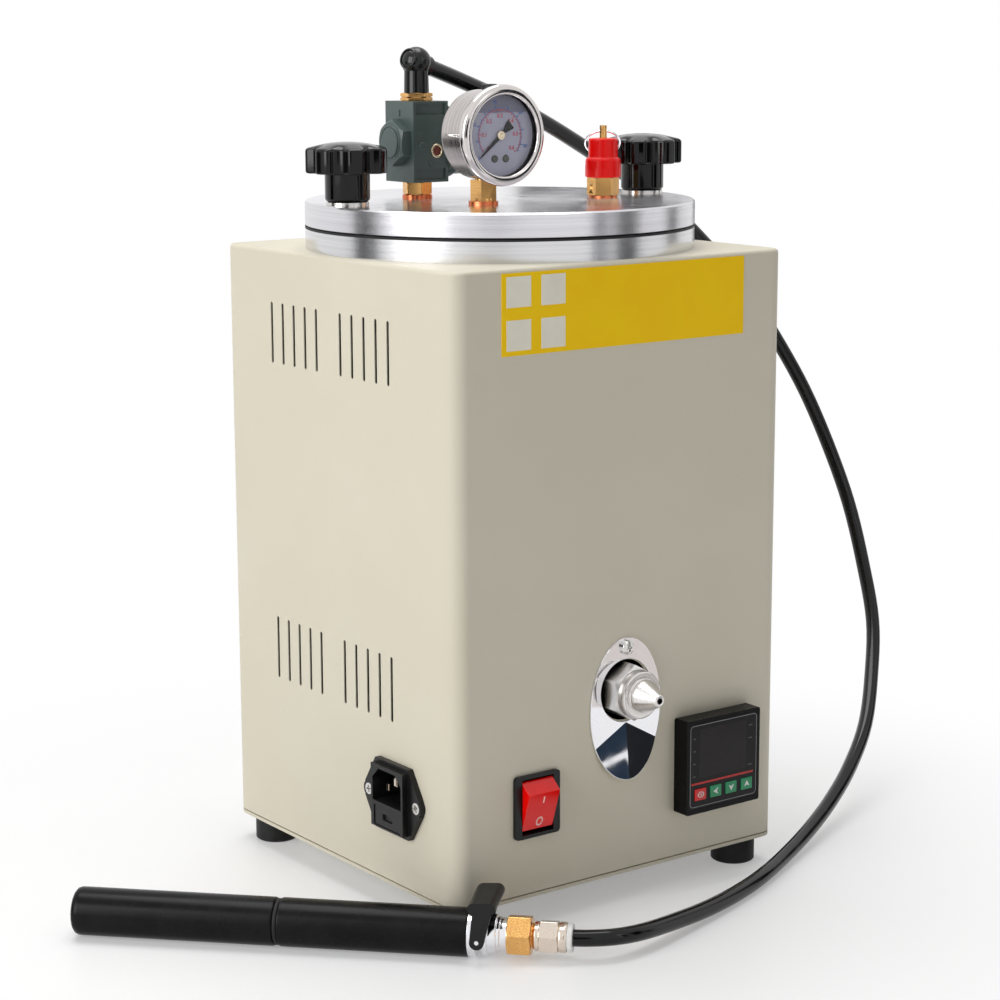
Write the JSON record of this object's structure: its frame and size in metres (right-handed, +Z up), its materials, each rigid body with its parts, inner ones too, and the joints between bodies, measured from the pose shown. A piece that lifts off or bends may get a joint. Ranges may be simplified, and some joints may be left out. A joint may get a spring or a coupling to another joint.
{
  "type": "jewelry wax injector",
  "caption": "Bench wax injector: heated pot in a folded steel case, clamped lid with regulator, gauge and relief valve, sprung nozzle, controller, hand pump and hose.",
  "frame": {"origin": "on the floor, under the centre of the box round all pieces but the hose", "axes": "+Z up, -Y out of the front panel, +X to the right seen from the front"},
  "size_m": [0.5198, 0.2628, 0.4116],
  "materials": {
    "case_enamel": "fine matte warm grey powder coat",
    "black_rubber": "matte",
    "zinc_steel": "bright zinc plate",
    "turned_aluminium": "turned, bright",
    "bakelite": "glossy black",
    "copper": "bare copper",
    "brass": "machined",
    "regulator_enamel": "satin dark green grey",
    "black_plastic": "satin black",
    "stainless": "satin stainless",
    "clear_glass": "clear",
    "dial_white": "matte with printed scales",
    "black_paint": "matte black",
    "red_anodise": "glossy red anodise",
    "chrome": "polished",
    "nickel": "nickel plate",
    "band_steel": "dull sheet",
    "switch_black": "semi gloss black",
    "switch_red": "glossy translucent red with white marks",
    "panel_film": "smooth dark film with a tinted window",
    "red_key": "satin red",
    "green_key": "satin green",
    "label_yellow": "printed film, plain",
    "black_anodise": "satin black anodise",
    "drawn_aluminium": "drawn tube",
    "white_plastic": "satin white"
  },
  "bodies": {
    "cabinet": {"case_shell": "case_enamel", "base_plate": "case_enamel", "rubber_feet": "black_rubber", "lid_gasket": "black_rubber", "screws": "zinc_steel", "lid_studs": "zinc_steel", "thermocouple": "zinc_steel", "wax_pot": "turned_aluminium", "outlet_body": "turned_aluminium", "hex_union": "brass", "controller_case": "black_plastic", "mains_inlet": "black_plastic", "air_hose": "black_plastic", "drip_plate": "chrome", "pump_head": "chrome", "hose_fitting": "nickel", "inlet_pins": "nickel", "heater_band": "band_steel", "switch_frame": "switch_black", "controller_faceplate": "panel_film", "front_label": "label_yellow", "pump_sleeve": "black_anodise", "pump_barrel": "drawn_aluminium", "fitting_collar": "white_plastic"},
    "lid_assembly": {"lid": "turned_aluminium", "knob_washers": "zinc_steel", "copper_washers": "copper", "brass_nipples": "brass", "regulator_body": "regulator_enamel", "regulator_end_cap": "regulator_enamel", "regulator_bonnet": "regulator_enamel", "gauge_port_plug": "brass", "hose_elbow": "black_plastic", "gauge_case": "stainless", "gauge_bezel": "stainless", "gauge_glass": "clear_glass", "gauge_dial": "dial_white", "gauge_movement": "brass", "gauge_socket": "brass", "gauge_fill_plug": "black_plastic", "relief_valve_body": "brass", "relief_valve_cap": "red_anodise", "relief_spring": "zinc_steel"},
    "left_knob": {"left_star_knob": "bakelite"},
    "right_knob": {"right_star_knob": "bakelite"},
    "pressure_knob": {"regulator_knob": "black_plastic"},
    "needle": {"gauge_needle": "black_paint"},
    "valve_pin": {"relief_pin": "brass"},
    "pull_ring": {"relief_ring": "zinc_steel"},
    "injection_nozzle": {"nozzle": "turned_aluminium", "nozzle_spring": "zinc_steel"},
    "power_rocker": {"switch_rocker": "switch_red"},
    "set_button": {"set_key": "red_key"},
    "shift_button": {"shift_key": "green_key"},
    "down_button": {"down_key": "green_key"},
    "up_button": {"up_key": "green_key"},
    "drawer": {"fuse_drawer": "black_plastic"},
    "handle": {"pump_handle": "black_anodise", "pump_rod": "zinc_steel"},
    "lock_lever": {"pump_lever": "black_plastic"}
  },
  "joints": [
    {"name": "lid_lift", "type": "slide", "parent": "cabinet", "child": "lid_assembly", "axis": [0, 0, 1], "range_m": [0, 0.08], "deforming": ["air_hose"]},
    {"name": "left_knob_turn", "type": "hinge", "parent": "lid_assembly", "child": "left_knob", "pos_m": [-0.01307, 0.03645, 0.352], "axis": [0, 0, 1], "range_deg": [0, 1080]},
    {"name": "right_knob_turn", "type": "hinge", "parent": "lid_assembly", "child": "right_knob", "pos_m": [0.15376, 0.01655, 0.352], "axis": [0, 0, 1], "range_deg": [0, 1080]},
    {"name": "pressure_turn", "type": "hinge", "parent": "lid_assembly", "child": "pressure_knob", "pos_m": [0.08835, 0.0565, 0.365], "axis": [1, 0, 0], "range_deg": [0, 720]},
    {"name": "needle_swing", "type": "hinge", "parent": "lid_assembly", "child": "needle", "pos_m": [0.04235, -0.0116, 0.3704], "axis": [0, 1, 0], "range_deg": [-4, 266], "stiffness_Nm_per_rad": 0.0002},
    {"name": "pin_pull", "type": "slide", "parent": "lid_assembly", "child": "valve_pin", "axis": [0, 0, 1], "range_m": [0, 0.003], "stiffness_N_per_m": 150, "springref_m": -0.004, "deforming": ["relief_spring"]},
    {"name": "ring_lift", "type": "hinge", "parent": "valve_pin", "child": "pull_ring", "pos_m": [0.11725, 0.0031, 0.37], "axis": [0.805, -0.5933, 0], "range_deg": [0, 270]},
    {"name": "nozzle_press", "type": "slide", "parent": "cabinet", "child": "injection_nozzle", "axis": [0, 1, 0], "range_m": [0, 0.0022], "stiffness_N_per_m": 300, "springref_m": -0.006},
    {"name": "rocker_tilt", "type": "hinge", "parent": "cabinet", "child": "power_rocker", "pos_m": [0.01659, -0.0711, 0.0598], "axis": [1, 0, 0], "range_deg": [-36, 0]},
    {"name": "set_press", "type": "slide", "parent": "cabinet", "child": "set_button", "axis": [0, 1, 0], "range_m": [0, 0.0005], "stiffness_N_per_m": 20, "springref_m": -0.001},
    {"name": "shift_press", "type": "slide", "parent": "cabinet", "child": "shift_button", "axis": [0, 1, 0], "range_m": [0, 0.0005], "stiffness_N_per_m": 20, "springref_m": -0.001},
    {"name": "down_press", "type": "slide", "parent": "cabinet", "child": "down_button", "axis": [0, 1, 0], "range_m": [0, 0.0005], "stiffness_N_per_m": 20, "springref_m": -0.001},
    {"name": "up_press", "type": "slide", "parent": "cabinet", "child": "up_button", "axis": [0, 1, 0], "range_m": [0, 0.0005], "stiffness_N_per_m": 20, "springref_m": -0.001},
    {"name": "drawer_pull", "type": "slide", "parent": "cabinet", "child": "drawer", "axis": [-1, 0, 0], "range_m": [0, 0.018]},
    {"name": "handle_pull", "type": "slide", "parent": "cabinet", "child": "handle", "axis": [-0.6997, 0.7145, 0], "range_m": [0, 0.07]},
    {"name": "lever_rock", "type": "hinge", "parent": "cabinet", "child": "lock_lever", "pos_m": [-0.02843, -0.09129, 0.0114], "axis": [0.7145, 0.6997, 0], "range_deg": [-14, 18]}
  ]
}
